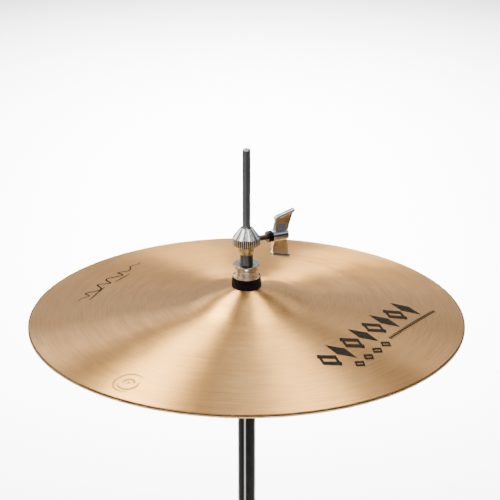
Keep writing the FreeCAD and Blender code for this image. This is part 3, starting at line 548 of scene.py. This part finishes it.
def print_small_mark():
    """A thin pen wave that swells and fades, with two flicks under it."""
    mark = Mark("small_printed_mark", INK, -0.148, 0.020, 61.0)
    length, swell, steps = 0.106, 0.0068, 180
    wave = []
    for i in range(steps + 1):
        t = i / steps
        height = swell * math.sin(math.pi * t) ** 0.6 * (1 - 0.55 * t)
        wave.append((length * t + 0.002 * math.sin(24 * t), height * math.sin(38 * t + 1.2)))
    mark.stroke(wave, 0.0015)
    mark.stroke([(0.004 + 0.0005 * i, -0.0085 + 0.00006 * i) for i in range(61)], 0.0013)
    mark.stroke([(0.046 + 0.0006 * i, -0.0075 - 0.00004 * i) for i in range(41)], 0.0014)
    mark.finish()


def stamp_round_mark():
    """A struck badge of broken rings."""
    mark = Mark("stamped_mark", STAMPED, -0.0955, -0.1395, 0.0)
    mark.arc(0.0125, 20, 250, 0.0017)
    mark.arc(0.0088, 170, 190, 0.0022)
    mark.arc(0.0050, -30, 200, 0.0022)
    mark.lozenge(0, 0, 0.0016, 0.0016)
    mark.finish()


# --- felt and spring ---------------------------------------------------------------------------------------
def add_fuzz(name, body, radius, z_low, z_high, count):
    """Short stray fibres on the side of a felt washer."""
    golden_angle, half_width, length = 2.39996, 0.00006, 0.0007
    points, faces = [], []
    for i in range(count):
        spot = noise.random_unit_vector()
        angle = golden_angle * i + spot.x
        z = z_low + (z_high - z_low) * (0.5 + 0.5 * spot.y)
        out = Vector((math.cos(angle), math.sin(angle), 0))
        across = Vector((-out.y, out.x, 0.6 * spot.z)).normalized()
        root = radius * out + Vector((0, 0, z))
        tip = root + length * (0.5 + 0.5 * abs(spot.z)) * (out + 1.6 * spot)
        tip.z = min(max(tip.z, z_low), z_high)
        start = len(points)
        points += [root - half_width * across, root + half_width * across, tip]
        faces.append((start, start + 1, start + 2))
    riding_piece(name, points, faces, MATERIALS["black_felt"], body)


def wind_spring():
    """The return spring's wire."""
    low, high = 0.176, 0.236
    wire, coil, turns = 0.00125, 0.0075, 7
    sides, steps = 12, 40
    first, last = low + wire + 0.0001, high - wire - 0.0001
    rise = (last - first) / (2 * math.pi * turns)
    points, faces = [], []
    for i in range(turns * steps + 1):
        angle = 2 * math.pi * i / steps
        out = Vector((math.cos(angle), math.sin(angle), 0))
        along = Vector((-coil * out.y, coil * out.x, rise)).normalized()
        up = along.cross(out)
        centre = coil * out + Vector((0, 0, first + rise * angle))
        for k in range(sides):
            a = 2 * math.pi * k / sides
            points.append(centre + wire * (math.cos(a) * out + math.sin(a) * up))
    for i in range(turns * steps):
        for k in range(sides):
            a, b = i * sides + k, i * sides + (k + 1) % sides
            faces.append((a, b, b + sides, a + sides))
    faces.append(tuple(range(sides))[::-1])
    faces.append(tuple(turns * steps * sides + k for k in range(sides)))
    spring = new_piece("return_spring_wire", points, faces, MATERIALS["dark_steel"])
    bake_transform(spring)
    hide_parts("return_spring")


# --- camera, floor and light -------------------------------------------------------------------------------
CAMERA_AT = Vector((0.0, -1.5549, RIM_Z + 0.6873))
CAMERA_AIM = Vector((0.0030, 0.0, RIM_Z + 0.0636))
LENS = 139.7
ROOM_DARK, ROOM_LIGHT = 0.01, 0.29
WARM, COOL = (1.0, 0.92, 0.56), (0.82, 0.92, 1.0)


def add_camera():
    data = bpy.data.cameras.new("camera")
    data.lens = LENS
    data.sensor_width = 36.0
    camera = bpy.data.objects.new("camera", data)
    camera.location = CAMERA_AT
    camera.rotation_euler = (CAMERA_AIM - CAMERA_AT).to_track_quat("-Z", "Y").to_euler()
    bpy.context.scene.collection.objects.link(camera)
    bpy.context.scene.camera = camera


def beam_gain(spread):
    """How much brighter a gridded panel is, straight ahead, than an open one of the same power."""
    half = math.radians(spread / 2)
    passed = math.sin(half) ** 2 / 2 - (half / 2 - math.sin(2 * half) / 4) / math.tan(half)
    return 1 / (2 * passed)


def add_panel(name, azimuth, elevation, distance, width, height, glow, colour=(1, 1, 1), spread=180):
    """A soft rectangular light of radiance glow, placed by its direction from the cymbals and facing them."""
    a, e = math.radians(azimuth), math.radians(elevation)
    out = Vector((math.cos(e) * math.cos(a), math.cos(e) * math.sin(a), math.sin(e)))
    data = bpy.data.lights.new(name, "AREA")
    data.shape = "RECTANGLE"
    data.size = width
    data.size_y = height
    data.energy = glow * width * height * math.pi / beam_gain(spread)
    data.color = colour
    data.spread = math.radians(spread)
    light = bpy.data.objects.new(name, data)
    light.location = Vector((0, 0, RIM_Z)) + distance * out
    light.visible_camera = False
    light.rotation_euler = (-out).to_track_quat("-Z", "Y").to_euler()
    bpy.context.scene.collection.objects.link(light)
    return light


def add_floor():
    m = Nodes("studio_floor")
    m.set(Base_Color=m.mix(m.noise(3.0), (0.93, 0.93, 0.93), (0.95, 0.95, 0.95)))
    m.set(Roughness=0.9, Specular_IOR_Level=0.0)
    half = 30.0
    corners = [(-half, -half, 0), (half, -half, 0), (half, half, 0), (-half, half, 0)]
    floor = new_piece("studio_floor", corners, [(0, 1, 2, 3)], m.material)


def add_world():
    """A plain dark room, a little lighter high up to the left and behind the object."""
    world = bpy.data.worlds.new("studio")
    world.use_nodes = True
    tree = world.node_tree
    direction = tree.nodes.new("ShaderNodeTexCoord").outputs["Generated"]

    def smooth_ramp(value, *limits):
        node = tree.nodes.new("ShaderNodeMapRange")
        node.interpolation_type = "SMOOTHSTEP"
        tree.links.new(value, node.inputs[0])
        for socket, limit in zip(node.inputs[1:5], limits):
            socket.default_value = limit
        return node.outputs["Result"]

    lean = tree.nodes.new("ShaderNodeVectorMath")
    lean.operation = "DOT_PRODUCT"
    lean.inputs[1].default_value = (-0.75, 0.65, 0.10)
    tree.links.new(direction, lean.inputs[0])
    split = tree.nodes.new("ShaderNodeSeparateXYZ")
    tree.links.new(direction, split.inputs[0])
    strength = tree.nodes.new("ShaderNodeMath")
    strength.operation = "MULTIPLY"
    tree.links.new(smooth_ramp(lean.outputs["Value"], 0.1, 0.95, ROOM_DARK, ROOM_LIGHT), strength.inputs[0])
    tree.links.new(smooth_ramp(split.outputs[2], 0.05, 0.35, 0.15, 1.0), strength.inputs[1])
    background = tree.nodes["Background"]
    background.inputs["Color"].default_value = (1, 1, 1, 1)
    tree.links.new(strength.outputs[0], background.inputs["Strength"])
    bpy.context.scene.world = world


def add_lights():
    """Lights by azimuth and elevation in degrees, distance, width and height, and radiance."""
    # The lathe grooves turn these into fans across the cymbals.
    add_panel("left_softbox", 143, 61, 1.6, 0.56, 0.46, 48, WARM, spread=38)
    add_panel("left_edge_softbox", 120, 50, 2.0, 0.35, 0.35, 18, WARM, spread=40)
    add_panel("right_softbox", 40, 71, 1.6, 0.56, 0.52, 27, WARM, spread=38)
    add_panel("top_softbox", 80, 72, 2.2, 1.1, 0.6, 2.8, spread=36)
    add_panel("front_left_softbox", 212, 46, 2.0, 1.1, 0.6, 12.0, spread=40)
    add_panel("front_right_softbox", 299, 52, 2.0, 0.3, 0.6, 12.0, spread=40)
    add_panel("front_fill_panel", 270, 22, 2.3, 1.4, 0.7, 21.0, COOL, spread=50)
    add_panel("front_middle_panel", 263, 53, 2.0, 1.0, 0.8, 0.7, spread=60)
    # These are seen in the plate and fill the shade.
    add_panel("right_low_panel", 335, 40, 2.2, 1.8, 1.0, 0.65, spread=90)
    add_panel("back_panel", 90, 20, 3.2, 3.4, 2.2, 0.58)
    add_panel("back_top_panel", 80, 52, 3.2, 2.8, 1.5, 0.90)
    add_panel("back_edge_softbox", 74, 52, 2.2, 0.8, 0.45, 3.2, spread=40)
    add_panel("left_wall_panel", 142, 22, 3.2, 1.9, 1.6, 3.1)
    add_panel("right_wall_panel", 40, 29, 3.0, 2.0, 1.3, 1.5, spread=110)
    # These two stand low in front, and draw the bright stripes on the tube and the rod.
    add_panel("low_strip", 247, -28, 1.36, 0.46, 0.42, 7.5, spread=100)
    add_panel("middle_strip", 238, -15, 1.25, 0.6, 0.22, 0.55, spread=100)
    # The floor behind the object is the white background.
    floor_light = add_panel("floor_softbox", 90, 90, 2.2, 1.8, 3.0, 198, spread=56)
    floor_light.location = (0, 2.6, 2.6)


def main():
    dress_nodes()
    low_rim_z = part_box("bottom_cymbal")[0][2] + BELL_RISE
    cymbal_mesh("top_cymbal_lathed", "top_cymbal", RIM_Z, TOP_THICK, 1, 3.0, PAINTED_SHADE_RIM)
    cymbal_mesh("bottom_cymbal_lathed", "bottom_cymbal", low_rim_z, BOTTOM_THICK, -1, 9.0, PAINTED_LIGHT_RIM)
    print_large_mark()
    print_small_mark()
    stamp_round_mark()
    noise.seed_set(7)
    add_fuzz("upper_felt_fuzz", "clutch", 0.0126, RIM_Z + 0.0315, RIM_Z + 0.0385, 900)
    wind_spring()
    add_camera()
    add_floor()
    add_world()
    add_lights()


main()
